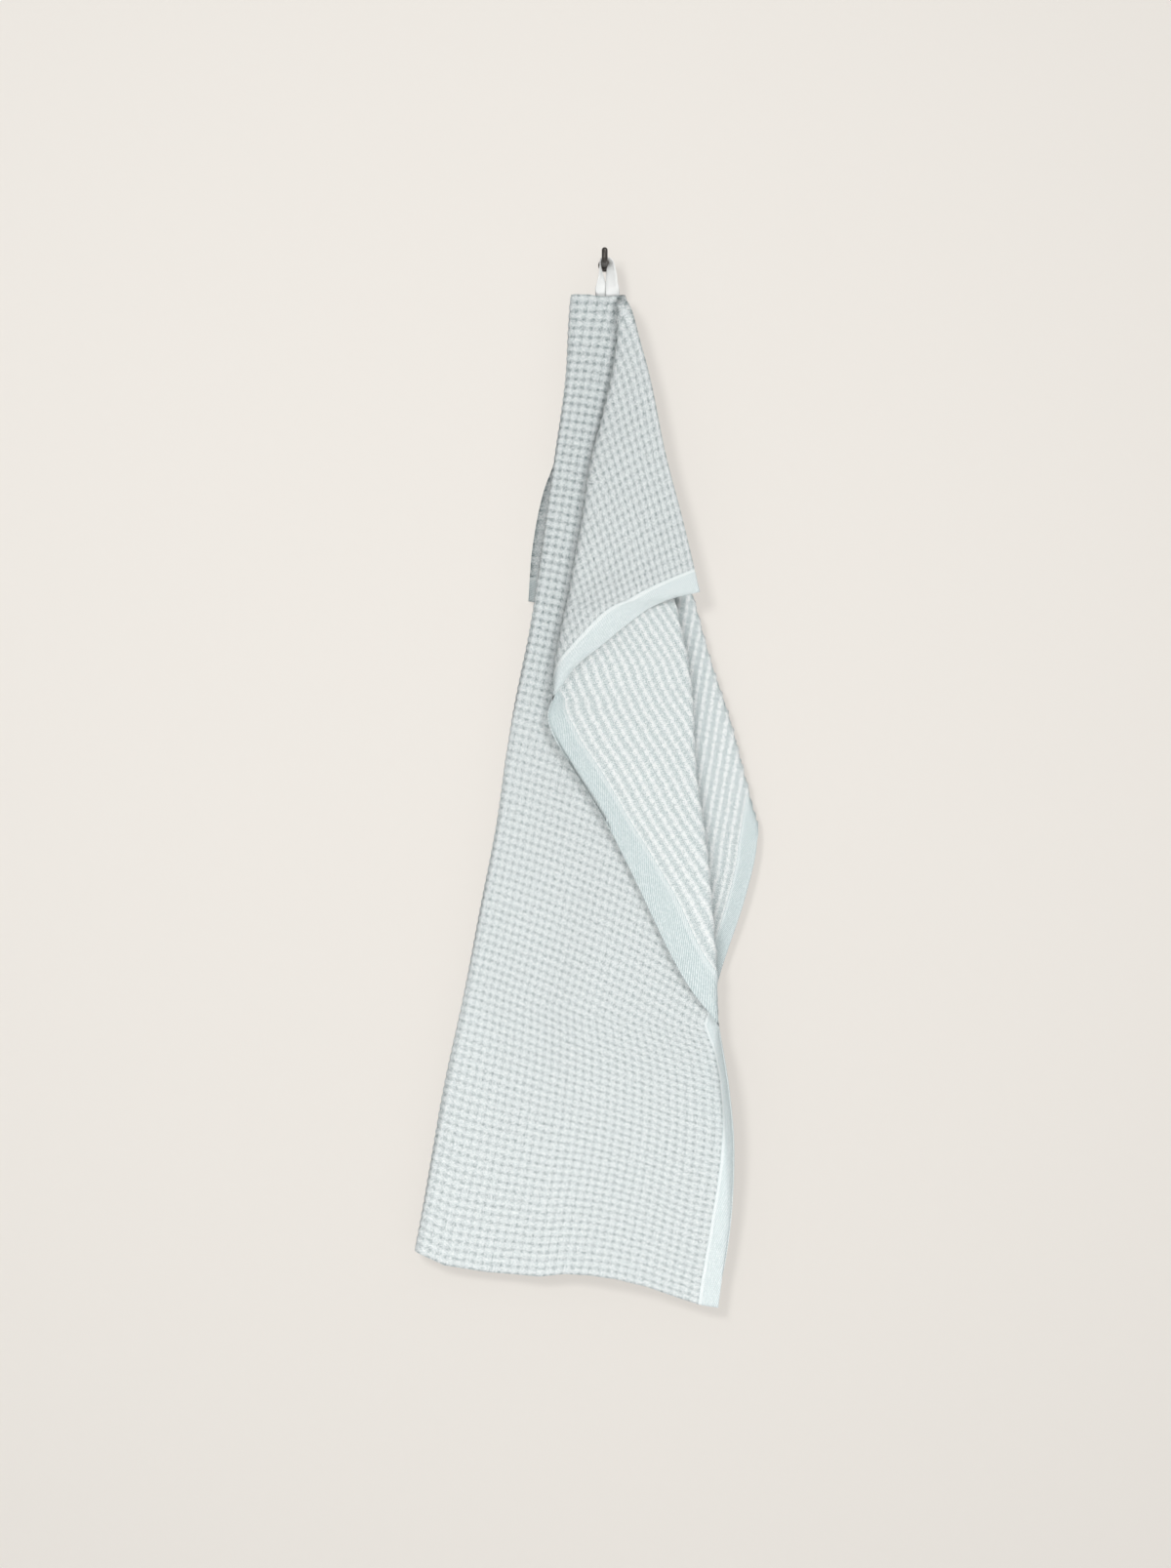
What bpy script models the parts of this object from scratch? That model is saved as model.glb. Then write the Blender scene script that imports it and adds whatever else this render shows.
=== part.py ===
"""Towel hanging by a tape loop from a small wall hook.

The towel is one flat rectangle of waffle cloth, pleated back and forth like a fan whose centre is the hook.
Each fold is a straight line on the flat cloth and a smooth line in the air. Between two folds lies a layer,
and each layer hangs at its own depth in front of the wall. The wall is the plane y = 0, the viewer is at -Y.
"""

import math

import bmesh
import bpy
import numpy as np
from mathutils import Vector

MM = 0.001

# Driving sizes of the cloth, in millimetres
TOWEL_HALF_WIDTH = 235.0
TOWEL_LENGTH = 700.0
CLOTH_THICKNESS = 2.0

# Hook, in millimetres: the bar's axis at its root is the height z = 0
PLATE_RADIUS = 4.5
PLATE_THICKNESS = 2.5
PLATE_BEVEL = 0.8
PLATE_SIDES = 48
PLATE_BEVEL_STEPS = 3
BAR_RADIUS = 2.1
BAR_REACH = 35.0
BAR_BEND_RADIUS = 6.0
BAR_RISE = 9.0
BAR_SIDES = 20
BAR_BEND_STEPS = 8
BAR_TIP_STEPS = 5
PIECE_GAP = 0.3

# Hanging loop, in millimetres
TAPE_WIDTH = 10.2
TAPE_THICKNESS = 1.0
LOOP_DEPTH = 22.5
RIGHT_SEAT_DEPTH = 20.0
LEFT_SEAT_DEPTH = 18.55
LOOP_CLEARANCE = 0.5
TAPE_RINGS = 49

# The fan's centre: its height above the hem on the flat cloth, and its place in the air
FAN_ABOVE_HEM = 28.0
FAN_X = 1.0
FAN_Z = 3.8

# Where the folds leave the top hem and where they end on the long edges, in millimetres
TOP_1, TOP_2, TOP_3, TOP_4, TOP_5, TOP_6 = 19.0, 12.6, -26.6, -33.6, -40.0, -46.0
END_1, END_2, END_4, END_5, END_6 = 165.0, 450.0, 335.0, 145.0, 73.0

# Each fold: its flat points (across the cloth, down the cloth), then its route in the air,
# one list for each flat stretch, as (across, down) from the fan's centre
RIGHT, LEFT = TOWEL_HALF_WIDTH, -TOWEL_HALF_WIDTH
FOLDS = {
    "right_hem": {
        "flat": [(TOP_1, 0.0), (RIGHT, 0.0), (RIGHT, END_1)],
        "air": [
            [(8, 30), (13.5, 31.5), (17.5, 37), (24, 59.5), (32, 90), (42.5, 142), (55, 190.5), (67, 241)],
            [(67, 241), (47.5, 245.5), (30, 253.5), (13.5, 266), (-4, 280), (-21.5, 294), (-38, 316.5)],
        ],
    },
    "fold_1": {
        "flat": [(TOP_1, 0.0), (RIGHT, END_1), (RIGHT, END_2)],
        "air": [
            [(8, 30), (8.5, 57.5), (5, 85.5), (-2, 113.5), (-9, 145), (-17.5, 196), (-34.5, 289), (-38, 316.5)],
            [(-38, 316.5), (-42, 330), (-38.5, 343), (-30, 358.5), (-7.5, 393.5), (13.5, 432), (58, 521.5),
             (81, 551)],
        ],
    },
    "fold_2": {
        "flat": [(TOP_2, 0.0), (RIGHT, END_2), (RIGHT, TOWEL_LENGTH)],
        "air": [
            [(13.5, 28), (21.5, 96), (35.5, 166), (49.5, 245.5), (59.5, 302.5), (65, 378), (79, 500.5), (81, 551)],
            [(81, 551), (87, 599), (90.5, 638.5), (89, 684.5), (80.5, 754)],
        ],
    },
    "fold_3": {
        "flat": [(TOP_3, 0.0), (0.0, TOWEL_LENGTH)],
        "air": [
            [(-25, 28), (-28.5, 82), (-37, 148.5), (-45, 208), (-56, 278), (-70.5, 351.5), (-79, 411),
             (-91.5, 481), (-105.5, 551), (-129, 670), (-137, 712)],
        ],
    },
    "fold_4": {
        "flat": [(TOP_4, 0.0), (LEFT, END_4), (LEFT, TOWEL_LENGTH)],
        "air": [
            [(-18.5, 29.5), (3, 96), (34.5, 166), (62.5, 243.5), (77.5, 298), (92.5, 347), (109, 406.5)],
            [(109, 406.5), (108, 426.5), (99.5, 462), (81, 519.5), (70.5, 572), (59, 649), (48.5, 726)],
        ],
    },
    "fold_5": {
        "flat": [(TOP_5, 0.0), (LEFT, END_5), (LEFT, END_4)],
        "air": [
            [(-24.5, 30.5), (-24.5, 82), (-28.5, 148.5), (-33, 215), (-30, 279.5)],
            [(-30, 279.5), (0, 337.5), (48.5, 386.5), (109, 406.5)],
        ],
    },
    "fold_6": {
        "flat": [(TOP_6, 0.0), (LEFT, END_6), (LEFT, END_5)],
        "air": [
            [(-16, 31), (-2, 96), (19, 166), (38, 231.5)],
            [(38, 231.5), (13.5, 271), (-30, 279.5)],
        ],
    },
    "left_hem": {
        "flat": [(TOP_6, 0.0), (LEFT, 0.0), (LEFT, END_6)],
        "air": [
            [(-16, 31), (-24, 82), (-34.5, 138), (-45.5, 169.5), (-53, 208), (-56, 246.5)],
            [(-56, 246.5), (-21.5, 251.5), (13.5, 239.5), (38, 231.5)],
        ],
    },
}

# How much lower the bottom hem hangs, by swing in radians, and from where the cloth eases to it, in millimetres
HEM_WAVE = {
    "swing": [-0.20, -0.185, -0.159, -0.116, -0.065, -0.041, -0.015, 0.01, 0.04, 0.068, 0.09, 0.11],
    "lower": [0.0, 3.0, 7.5, 6.0, 1.0, -4.5, -7.5, -8.5, -7.0, -3.0, 0.0, 0.0],
}
HEM_WAVE_STARTS = 560.0
HEM_WAVE_FULL = 740.0

# Points traced along each route, and how far a fold's line runs on past the hems, in millimetres
ROUTE_POINTS = 160
RUNS_ON_ABOVE = (14.0, 7.0)
RUNS_ON_BELOW = (20.0, 45.0)

# How far each layer hangs in front of the wall, by its reach from the fan's centre, in millimetres
DEPTHS = {
    "reach": [25, 100, 200, 300, 420, 530, 700, 765],
    "front_flap": [31.0, 33.5, 35.5, 36.5, 37.0, 37.0, 37.0, 37.0],
    "front_turn": [26.5, 27.5, 28.5, 29.0, 28.5, 28.0, 28.0, 28.0],
    "main_panel": [22.0, 22.0, 22.5, 23.0, 23.0, 22.0, 21.0, 21.0],
    "back_panel": [16.6, 16.4, 16.0, 15.5, 14.0, 11.0, 9.0, 9.0],
    "back_turn": [12.9, 12.4, 12.0, 11.0, 7.0, 6.0, 6.0, 6.0],
    "inner_turn": [9.4, 9.0, 8.6, 8.0, 5.0, 5.0, 5.0, 5.0],
    "rear_flap": [5.9, 5.2, 4.4, 4.0, 4.0, 4.0, 4.0, 4.0],
}
LAYERS = [name for name in DEPTHS if name != "reach"]
MAIN_PANEL = LAYERS.index("main_panel")
FRONT_EDGE_UNCURLS_OVER = 110.0
BACK_EDGE_UNCURLS_OVER = 12.0
FREE = 1e-6

# The main panel's right selvedge below the end of fold 2 stands forward, then lies down, in millimetres
CURL = {
    "reach": [500, 533, 555, 575, 610, 645, 690, 740],
    "forward": [0.0, 0.0, 9.0, 12.5, 12.0, 8.5, 3.0, 0.0],
    "squeeze": [1.0, 1.0, 0.5, 0.35, 0.35, 0.45, 0.7, 1.0],
}

# The forward crown of a layer between its folds, and the reach at which it starts, in millimetres
CROWNS = {"front_flap": 5.0, "front_turn": 2.5}
CROWN_STARTS = 60.0
CROWN_GROWS_OVER = 120.0

# Soft upright ripples that all layers share: how many radians each turns across the fan, phase, depth
RIPPLES = [(17.0, 0.6, 2.6), (31.0, 2.1, 1.1)]
RIPPLE_STARTS = 180.0
RIPPLE_FULL = 640.0

# Sections down the cloth, by reach, and points across one layer
FIRST_SECTION, LAST_SECTION, SECTION_STEP, SECTION_CLEARANCE = 64.0, 712.0, 26.0, 8.0
TIP_SECTION = 3.0
LEAST_SPACING = 1.1
MERGE_DISTANCE = 0.00002
TOP_ROWS = (0.0, 0.3, 0.65)
TURN_STEPS = 3
LEAST_TURN_SHARE = 0.05
RUN_STEPS = {"front_flap": 6, "front_turn": 6, "main_panel": 9, "back_panel": 8, "back_turn": 5,
             "inner_turn": 4, "rear_flap": 4}


def smooth_route(points, count):
    """Evenly numbered points on one smooth curve through the given points."""
    given = np.array(points, float)
    steps = np.linalg.norm(np.diff(given, axis=0), axis=1) ** 0.5
    knots = np.concatenate([[0.0], np.cumsum(steps)])
    slopes = np.diff(given, axis=0) / steps[:, None]
    tangents = np.vstack([slopes[:1], slopes])
    before, after = steps[:-1, None], steps[1:, None]
    tangents[1:-1] = (slopes[:-1] * after + slopes[1:] * before) / (before + after)
    where = np.linspace(0.0, knots[-1], count)
    part = np.clip(np.searchsorted(knots, where, side="right") - 1, 0, len(knots) - 2)
    size = (knots[part + 1] - knots[part])[:, None]
    t = (where - knots[part])[:, None] / size
    start, end = given[part], given[part + 1]
    return ((2 * t**3 - 3 * t**2 + 1) * start + (t**3 - 2 * t**2 + t) * size * tangents[part]
            + (3 * t**2 - 2 * t**3) * end + (t**3 - t**2) * size * tangents[part + 1])


def trace_fold(fold):
    """Reach and angle of a fold on the flat cloth, and its reach and swing in the air."""
    flat_parts, air_parts = [], []
    for index, route in enumerate(fold["air"]):
        air = smooth_route(route, ROUTE_POINTS)
        run = np.concatenate([[0.0], np.cumsum(np.hypot(*np.diff(air, axis=0).T))])
        share = (run / run[-1])[:, None]
        flat = np.array(fold["flat"][index]) * (1 - share) + np.array(fold["flat"][index + 1]) * share
        first = 1 if index else 0
        flat_parts.append(flat[first:])
        air_parts.append(air[first:])
    flat, air = np.vstack(flat_parts), np.vstack(air_parts)
    if fold["flat"][1][1] > 0:
        above = -np.array(RUNS_ON_ABOVE)[:, None]
        flat = np.vstack([flat[0] + above * unit(flat[3] - flat[0]), flat])
        air = np.vstack([air[0] + above * unit(air[3] - air[0]), air])
    end = math.hypot(flat[-1, 0], flat[-1, 1] + FAN_ABOVE_HEM)
    if abs(flat[-1, 0]) < TOWEL_HALF_WIDTH:
        below = np.array(RUNS_ON_BELOW)[:, None]
        flat = np.vstack([flat, flat[-1] + below * unit(flat[-1] - flat[-4])])
        air = np.vstack([air, air[-1] + below * unit(air[-1] - air[-4])])
    reach = np.hypot(flat[:, 0], flat[:, 1] + FAN_ABOVE_HEM)
    order = np.argsort(reach, kind="stable")
    return {
        "reach": reach[order],
        "angle": np.arctan2(flat[:, 1] + FAN_ABOVE_HEM, flat[:, 0])[order],
        "hang": np.hypot(air[:, 0], air[:, 1])[order],
        "swing": np.arctan2(air[:, 0], air[:, 1])[order],
        "end": end,
    }


def unit(vector):
    return vector / np.hypot(*vector)


LINES = [trace_fold(fold) for fold in FOLDS.values()]


def on_line(index, key, reach):
    return np.interp(reach, LINES[index]["reach"], LINES[index][key])


def layer_depth(layer, reach):
    return np.interp(reach, DEPTHS["reach"], DEPTHS[LAYERS[layer]])


def ease(value):
    value = np.clip(value, 0.0, 1.0)
    return value * value * (3 - 2 * value)


def edge_depth(line, layer, reach):
    """How far the fold lies in front of the layer. Past the fold's end the free edge uncurls."""
    other = layer - 1 if line == layer else layer + 1
    if other < 0 or other >= len(LAYERS):
        return np.zeros_like(reach)
    half = (layer_depth(other, reach) - layer_depth(layer, reach)) / 2
    if other < layer <= MAIN_PANEL:
        half = half * (1 - ease((reach - LINES[other]["end"]) / FRONT_EDGE_UNCURLS_OVER))
    if layer == MAIN_PANEL and line == layer:
        half = half + np.interp(reach, CURL["reach"], CURL["forward"])
    if other > layer > MAIN_PANEL:
        half = half * (1 - ease((reach - LINES[other + 1]["end"]) / BACK_EDGE_UNCURLS_OVER))
    return half


def layer_widths(layer, reach):
    """Sizes of a layer's section: width in the air, depth and width of its two turns, lengths along them."""
    hang_a, hang_b = on_line(layer, "hang", reach), on_line(layer + 1, "hang", reach)
    swing = on_line(layer + 1, "swing", reach) - on_line(layer, "swing", reach)
    width = np.hypot(hang_b - hang_a, (hang_a + hang_b) / 2 * swing) + 1e-6
    depth_a, depth_b = edge_depth(layer, layer, reach), edge_depth(layer + 1, layer, reach)
    size_a, size_b = np.abs(depth_a), np.abs(depth_b)
    squeeze = np.minimum(1.0, width / (size_a + size_b + 1e-6))
    turn_a, turn_b = size_a * squeeze, size_b * squeeze
    if layer == MAIN_PANEL:
        turn_a = turn_a * np.interp(reach, CURL["reach"], CURL["squeeze"])
    length_a, length_b = math.pi / 4 * (turn_a + size_a), math.pi / 4 * (turn_b + size_b)
    length_a = np.where(size_b < FREE, size_a * part_angle(width, size_a), length_a)
    length_b = np.where(size_a < FREE, size_b * part_angle(width, size_b), length_b)
    return width, depth_a, depth_b, turn_a, turn_b, length_a, length_b


def part_angle(width, radius):
    """Angle that a round turn reaches within this width, a quarter turn at most."""
    return np.arccos(1 - np.minimum(width / np.maximum(radius, 1e-6), 1.0))


def turn_angle(depth, across, length):
    """Most angle of a turn, and its size across: a narrow free tip stops partway round the turn."""
    size = np.abs(depth)
    full = length >= math.pi / 2 * size - 1e-9
    flattened = length >= math.pi / 4 * (across + size) - 1e-9
    stops_early = (across < size - 1e-9) & ~full & ~flattened
    most = np.where(stops_early, length / np.maximum(size, 1e-6), math.pi / 2)
    return most, np.where(stops_early, size, across)


def ripple(swing, hang):
    growth = ease((hang - RIPPLE_STARTS) / (RIPPLE_FULL - RIPPLE_STARTS))
    wave = sum(depth * np.sin(turns * swing + phase) for turns, phase, depth in RIPPLES)
    return growth * wave


def place_on_layer(layer, reach, share):
    """Point in the air (x, y, z in millimetres) at a share of the layer's section at this reach."""
    width, depth_a, depth_b, turn_a, turn_b, length_a, length_b = layer_widths(layer, reach)
    most_a, round_a = turn_angle(depth_a, turn_a, length_a)
    most_b, round_b = turn_angle(depth_b, turn_b, length_b)
    run = width - turn_a - turn_b
    total = length_a + run + length_b
    along = share * total
    angle_a = np.clip(along / np.maximum(length_a, 1e-6), 0, 1) * most_a
    angle_b = np.clip((total - along) / np.maximum(length_b, 1e-6), 0, 1) * most_b
    across = round_a * (1 - np.cos(angle_a)) + np.clip(along - length_a, 0, run)
    across = across + turn_b - round_b * (1 - np.cos(angle_b))
    fraction = across / width
    out = layer_depth(layer, reach) + depth_a * (1 - np.sin(angle_a)) + depth_b * (1 - np.sin(angle_b))
    crown = CROWNS.get(LAYERS[layer], 0.0) * ease((reach - CROWN_STARTS) / CROWN_GROWS_OVER)
    out = out + crown * np.sin(math.pi * share)
    hang_a, hang_b = on_line(layer, "hang", reach), on_line(layer + 1, "hang", reach)
    swing_a, swing_b = on_line(layer, "swing", reach), on_line(layer + 1, "swing", reach)
    hang = hang_a + (hang_b - hang_a) * fraction
    swing = swing_a + (swing_b - swing_a) * fraction
    out = out + ripple(swing, hang)
    wave = np.interp(swing, HEM_WAVE["swing"], HEM_WAVE["lower"])
    hang = hang + wave * ease((hang - HEM_WAVE_STARTS) / (HEM_WAVE_FULL - HEM_WAVE_STARTS))
    return FAN_X + hang * np.sin(swing), -out, FAN_Z - hang * np.cos(swing)


def section_shares(layer, reach):
    """Shares of the section at which the mesh has points: dense round the turns, even between."""
    width, _, _, turn_a, turn_b, length_a, length_b = layer_widths(layer, np.array(reach, float))
    total = length_a + length_b + width - turn_a - turn_b
    first = min(max(float(length_a / total), LEAST_TURN_SHARE), 0.45)
    last = 1 - min(max(float(length_b / total), LEAST_TURN_SHARE), 0.45)
    run_steps = RUN_STEPS[LAYERS[layer]]
    shares = [first * step / TURN_STEPS for step in range(TURN_STEPS)]
    shares += [first + (last - first) * step / run_steps for step in range(run_steps)]
    shares += [last + (1 - last) * step / TURN_STEPS for step in range(TURN_STEPS + 1)]
    parts = max(1, int(total / LEAST_SPACING))
    if parts < len(shares) - 1:
        shares = [round(share * parts) / parts for share in shares]
    return shares


def flat_down(layer, reach, share):
    """How far down the flat cloth a point of the section lies."""
    angle_a, angle_b = on_line(layer, "angle", reach), on_line(layer + 1, "angle", reach)
    return reach * math.sin(angle_a + (angle_b - angle_a) * share) - FAN_ABOVE_HEM


def reach_at(layer, column, down, low, high):
    """Reach at which a column of the mesh crosses the hem that lies this far down the cloth."""
    for _ in range(40):
        middle = (low + high) / 2
        if flat_down(layer, middle, section_shares(layer, middle)[column]) < down:
            low = middle
        else:
            high = middle
    return (low + high) / 2


def fold_top(line):
    across = list(FOLDS.values())[line]["flat"][0][0]
    return math.hypot(across, FAN_ABOVE_HEM)


def section_reaches():
    """Even sections, and one through each corner and each end of a fold."""
    ends = [0.0, END_1, END_2, END_4, END_5, END_6]
    keys = [math.hypot(TOWEL_HALF_WIDTH, down + FAN_ABOVE_HEM) for down in ends]
    keys += [key - TIP_SECTION for key in keys[1:]]
    even = np.arange(FIRST_SECTION, LAST_SECTION, SECTION_STEP)
    return sorted(keys + [float(reach) for reach in even if min(abs(reach - key) for key in keys) > SECTION_CLEARANCE])


def layer_rows(layer, reaches):
    """Rows of reaches, one for each column of the layer's mesh, from the top hem to where the layer ends."""
    columns = len(section_shares(layer, FIRST_SECTION))
    starts = [fold_top(layer)]
    for column in range(1, columns - 1):
        if layer in (0, len(LAYERS) - 1):
            starts.append(fold_top(1 if layer == 0 else layer))
        else:
            starts.append(reach_at(layer, column, 0.0, FAN_ABOVE_HEM, FIRST_SECTION))
    starts.append(fold_top(layer + 1))
    rows = [[start + (FIRST_SECTION - start) * ratio for start in starts] for ratio in TOP_ROWS]
    end = min(LINES[layer]["end"], LINES[layer + 1]["end"])
    hangs_to_bottom = layer in (MAIN_PANEL, MAIN_PANEL + 1)
    stop = LAST_SECTION if hangs_to_bottom else end + 0.01
    rows += [[reach] * columns for reach in reaches if reach <= stop]
    if hangs_to_bottom:
        corner = math.hypot(TOWEL_HALF_WIDTH, TOWEL_LENGTH + FAN_ABOVE_HEM)
        last = [reach_at(layer, column, TOWEL_LENGTH, LAST_SECTION, corner) for column in range(columns)]
        rows.append(last)
    return rows


def add_sheet(name, grids, thickness, material):
    """One closed sheet from grids of middle points that share their edges."""
    shape = bmesh.new()
    for grid in grids:
        rows = [[shape.verts.new(Vector(point) * MM) for point in row] for row in grid]
        for upper, lower in zip(rows[:-1], rows[1:]):
            for column in range(len(upper) - 1):
                shape.faces.new((upper[column], upper[column + 1], lower[column + 1], lower[column]))
    bmesh.ops.remove_doubles(shape, verts=shape.verts, dist=MERGE_DISTANCE)
    bmesh.ops.dissolve_degenerate(shape, dist=MERGE_DISTANCE, edges=shape.edges)
    bmesh.ops.recalc_face_normals(shape, faces=shape.faces)
    shape.normal_update()
    shape.verts.ensure_lookup_table()
    half = thickness * MM / 2
    front = [vert.co + vert.normal * half for vert in shape.verts]
    back = [vert.co - vert.normal * half for vert in shape.verts]
    count = len(front)
    faces = [[vert.index for vert in face.verts] for face in shape.faces]
    walls = []
    for edge in shape.edges:
        if edge.is_boundary:
            start = edge.link_loops[0].vert.index
            end = edge.other_vert(edge.link_loops[0].vert).index
            walls.append((end, start, start + count, end + count))
    shape.free()
    solid = faces + [[index + count for index in reversed(face)] for face in faces] + walls
    return add_object(name, front + back, solid, material)


def add_object(name, points, faces, material):
    mesh = bpy.data.meshes.new(name)
    mesh.from_pydata([tuple(point) for point in points], [], faces)
    shape = bmesh.new()
    shape.from_mesh(mesh)
    bmesh.ops.triangulate(shape, faces=shape.faces)
    bmesh.ops.recalc_face_normals(shape, faces=shape.faces)
    shape.to_mesh(mesh)
    shape.free()
    mesh.shade_smooth()
    mesh.set_sharp_from_angle(angle=math.radians(50))
    mesh.materials.append(material)
    piece = bpy.data.objects.new(name, mesh)
    bpy.context.scene.collection.objects.link(piece)
    return piece


def make_material(name, colour, roughness, metallic=0.0):
    material = bpy.data.materials.new(name)
    material.use_nodes = True
    shader = material.node_tree.nodes["Principled BSDF"]
    shader.inputs["Base Color"].default_value = (*colour, 1.0)
    shader.inputs["Roughness"].default_value = roughness
    shader.inputs["Metallic"].default_value = metallic
    return material


def make_towel(material):
    reaches = section_reaches()
    grids = []
    for layer in range(len(LAYERS)):
        grid = []
        for row in layer_rows(layer, reaches):
            shares = [section_shares(layer, reach)[column] for column, reach in enumerate(row)]
            grid.append(np.array(place_on_layer(layer, np.array(row), np.array(shares))).T)
        grids.append(grid)
    return add_sheet("towel", grids, CLOTH_THICKNESS, material)


def tape_route():
    """Middle of the tape (across, out, up) with the quarter turns of its width: 0 lies along X, 1 along Y."""
    arc_radius = BAR_RADIUS + LOOP_CLEARANCE + TAPE_THICKNESS / 2
    front, rear = RIGHT_SEAT_DEPTH, LEFT_SEAT_DEPTH
    right = [(5.6, front, -32.0, 0.0), (5.6, front, -25.5, 0.0), (5.6, 20.2, -22.0, 0.04), (5.5, 20.8, -18.5, 0.2),
             (5.2, 21.2, -14.5, 0.36), (5.0, 21.8, -9.0, 0.46), (4.6, 22.3, -4.0, 0.6)]
    left = [(-3.0, 22.3, -3.5, 1.05), (-2.7, 21.6, -9.0, 1.2), (-2.6, 20.2, -14.5, 1.42), (-2.3, 18.9, -18.5, 1.68),
            (-1.6, 18.5, -22.0, 1.93), (-1.0, rear, -25.5, 2.0), (-1.0, rear, -32.0, 2.0)]
    arc = []
    for step in range(7):
        angle = math.pi * step / 6
        turn = min(0.8 + 0.1 * step, 1.0)
        radius = arc_radius + TAPE_WIDTH / 2 * math.cos(turn * math.pi / 2)
        arc.append((radius * math.cos(angle), LOOP_DEPTH, radius * math.sin(angle), turn))
    return smooth_route(right + arc + left, TAPE_RINGS)


def make_loop(material):
    route = tape_route()
    points = []
    for index, (across, out, up, turn) in enumerate(route):
        ahead = route[min(index + 1, len(route) - 1)]
        behind = route[max(index - 1, 0)]
        direction = Vector((ahead[0] - behind[0], behind[1] - ahead[1], ahead[2] - behind[2])).normalized()
        angle = turn * math.pi / 2
        wide = Vector((math.cos(angle), -math.sin(angle), 0.0))
        wide = (wide - direction * wide.dot(direction)).normalized()
        thick = direction.cross(wide)
        centre = Vector((across, -out, up))
        for side, face in ((-1, -1), (1, -1), (1, 1), (-1, 1)):
            offset = wide * side * TAPE_WIDTH / 2 + thick * face * TAPE_THICKNESS / 2
            points.append((centre + offset) * MM)
    faces = [(3, 2, 1, 0)]
    for ring in range(len(route) - 1):
        start = ring * 4
        for side in range(4):
            after = (side + 1) % 4
            faces.append((start + side, start + after, start + after + 4, start + side + 4))
    last = (len(route) - 1) * 4
    faces.append((last, last + 1, last + 2, last + 3))
    return add_object("hanging_loop", points, faces, material)


def make_plate(material):
    """Round wall plate with a softened front rim, turned about the bar's axis."""
    profile = [(0.0, PLATE_RADIUS), (PLATE_THICKNESS - PLATE_BEVEL, PLATE_RADIUS)]
    for step in range(1, PLATE_BEVEL_STEPS + 1):
        angle = math.pi / 2 * step / PLATE_BEVEL_STEPS
        rim = PLATE_RADIUS - PLATE_BEVEL * (1 - math.cos(angle))
        profile.append((PLATE_THICKNESS - PLATE_BEVEL * (1 - math.sin(angle)), rim))
    return add_turned("hook_plate", profile, PLATE_SIDES, material)


def add_turned(name, profile, sides, material):
    points = []
    for out, radius in profile:
        for side in range(sides):
            angle = 2 * math.pi * side / sides
            points.append((radius * math.cos(angle) * MM, -out * MM, radius * math.sin(angle) * MM))
    faces = [tuple(range(sides)), tuple(reversed(range(len(points) - sides, len(points))))]
    for ring in range(len(profile) - 1):
        for side in range(sides):
            after = (side + 1) % sides
            start = ring * sides
            faces.append((start + side, start + side + sides, start + after + sides, start + after))
    return add_object(name, points, faces, material)


def make_bar(material):
    """Round bar out from the plate, bent up at its end, with a rounded tip."""
    straight_end = BAR_REACH - BAR_BEND_RADIUS
    route = [(PLATE_THICKNESS + PIECE_GAP, 0.0), (straight_end, 0.0)]
    for step in range(1, BAR_BEND_STEPS + 1):
        angle = math.pi / 2 * step / BAR_BEND_STEPS
        route.append((straight_end + BAR_BEND_RADIUS * math.sin(angle), BAR_BEND_RADIUS * (1 - math.cos(angle))))
    route.append((BAR_REACH, BAR_RISE - BAR_RADIUS))
    radii = [BAR_RADIUS] * len(route)
    for step in range(1, BAR_TIP_STEPS):
        angle = math.pi / 2 * step / BAR_TIP_STEPS
        route.append((BAR_REACH, BAR_RISE - BAR_RADIUS + BAR_RADIUS * math.sin(angle)))
        radii.append(BAR_RADIUS * math.cos(angle))
    points = []
    for index, (out, up) in enumerate(route):
        ahead = route[min(index + 1, len(route) - 1)]
        behind = route[max(index - 1, 0)]
        direction = Vector((0.0, behind[0] - ahead[0], ahead[1] - behind[1])).normalized()
        sideways = Vector((1.0, 0.0, 0.0))
        upward = sideways.cross(direction)
        for side in range(BAR_SIDES):
            angle = 2 * math.pi * side / BAR_SIDES
            offset = (sideways * math.cos(angle) + upward * math.sin(angle)) * radii[index]
            points.append((Vector((0.0, -out, up)) + offset) * MM)
    faces = [tuple(reversed(range(BAR_SIDES))), tuple(range(len(points) - BAR_SIDES, len(points)))]
    for ring in range(len(route) - 1):
        start = ring * BAR_SIDES
        for side in range(BAR_SIDES):
            after = (side + 1) % BAR_SIDES
            faces.append((start + side, start + after, start + after + BAR_SIDES, start + side + BAR_SIDES))
    return add_object("hook_bar", points, faces, material)


def main():
    for piece in list(bpy.data.objects):
        bpy.data.objects.remove(piece, do_unlink=True)
    cloth = make_material("waffle_cloth", (0.76, 0.82, 0.82), 0.95)
    tape = make_material("cotton_tape", (0.90, 0.91, 0.90), 0.9)
    plate = make_material("plate_metal", (0.09, 0.08, 0.075), 0.4, 1.0)
    bar = make_material("bar_metal", (0.09, 0.08, 0.075), 0.35, 1.0)
    make_towel(cloth)
    make_loop(tape)
    make_plate(plate)
    make_bar(bar)


main()
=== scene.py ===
import math

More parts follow.
